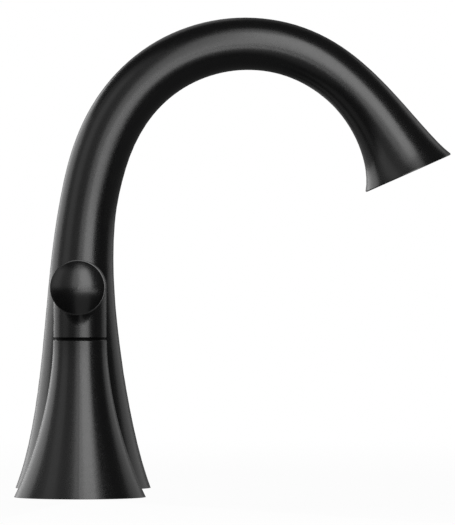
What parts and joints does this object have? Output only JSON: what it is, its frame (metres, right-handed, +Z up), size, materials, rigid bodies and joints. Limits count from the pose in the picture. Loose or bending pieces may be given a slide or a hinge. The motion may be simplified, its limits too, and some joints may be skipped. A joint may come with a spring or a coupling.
{
  "type": "widespread basin faucet",
  "caption": "Widespread basin faucet: a high arched spout with a flared foot and trumpet outlet, and a lever valve on a flared skirt at each side for hot and cold.",
  "frame": {"origin": "centre of the spout's foot, on the deck's top face", "axes": "+Z up, +X the way the spout reaches, +Y from the spout to the cold valve"},
  "size_m": [0.1873, 0.343, 0.2785],
  "materials": {
    "black_finish": "matte black powder coat on brass",
    "brass": "machined",
    "steel": "plain stainless",
    "rubber": "moulded black",
    "nylon": "moulded black",
    "ceramic": "lapped white",
    "aerator_shell": "moulded black",
    "aerator_insert": "moulded grey"
  },
  "bodies": {
    "body": {"aerator_diffuser": "aerator_insert", "aerator_honeycomb": "aerator_insert", "aerator_housing": "aerator_shell", "aerator_restrictor": "aerator_insert", "aerator_washer": "rubber", "cold_bonnet_washer": "rubber", "cold_cartridge_bonnet": "brass", "cold_deck_gasket": "rubber", "cold_disc_seat_seal": "rubber", "cold_escutcheon": "black_finish", "cold_fixed_disc": "ceramic", "cold_friction_washer": "rubber", "cold_glide_ring": "nylon", "cold_mounting_nut": "brass", "cold_steel_washer": "steel", "cold_top_nut": "brass", "cold_valve_body": "brass", "hot_bonnet_washer": "rubber", "hot_cartridge_bonnet": "brass", "hot_deck_gasket": "rubber", "hot_disc_seat_seal": "rubber", "hot_escutcheon": "black_finish", "hot_fixed_disc": "ceramic", "hot_friction_washer": "rubber", "hot_glide_ring": "nylon", "hot_mounting_nut": "brass", "hot_steel_washer": "steel", "hot_top_nut": "brass", "hot_valve_body": "brass", "spout_base_gasket": "rubber", "spout_base_plate": "nylon", "spout_body": "black_finish", "spout_friction_washer": "rubber", "spout_inlet_tee": "brass", "spout_mounting_nut": "brass", "spout_shank": "brass", "spout_shank_seal": "rubber", "spout_steel_washer": "steel", "tee_seal": "rubber"},
    "hot_handle": {"hot_handle": "black_finish", "hot_handle_set_screw": "steel", "hot_cartridge_stem": "brass", "hot_stem_seal": "rubber", "hot_stem_clip": "steel", "hot_moving_disc": "ceramic"},
    "cold_handle": {"cold_handle": "black_finish", "cold_handle_set_screw": "steel", "cold_cartridge_stem": "brass", "cold_stem_seal": "rubber", "cold_stem_clip": "steel", "cold_moving_disc": "ceramic"}
  },
  "joints": [
    {"name": "hot_valve_turn", "type": "hinge", "parent": "body", "child": "hot_handle", "pos_m": [0, -0.1016, 0.08], "axis": [0, 0, 1], "range_deg": [0, 90]},
    {"name": "cold_valve_turn", "type": "hinge", "parent": "body", "child": "cold_handle", "pos_m": [0, 0.1016, 0.08], "axis": [0, 0, 1], "range_deg": [-90, 0]}
  ]
}
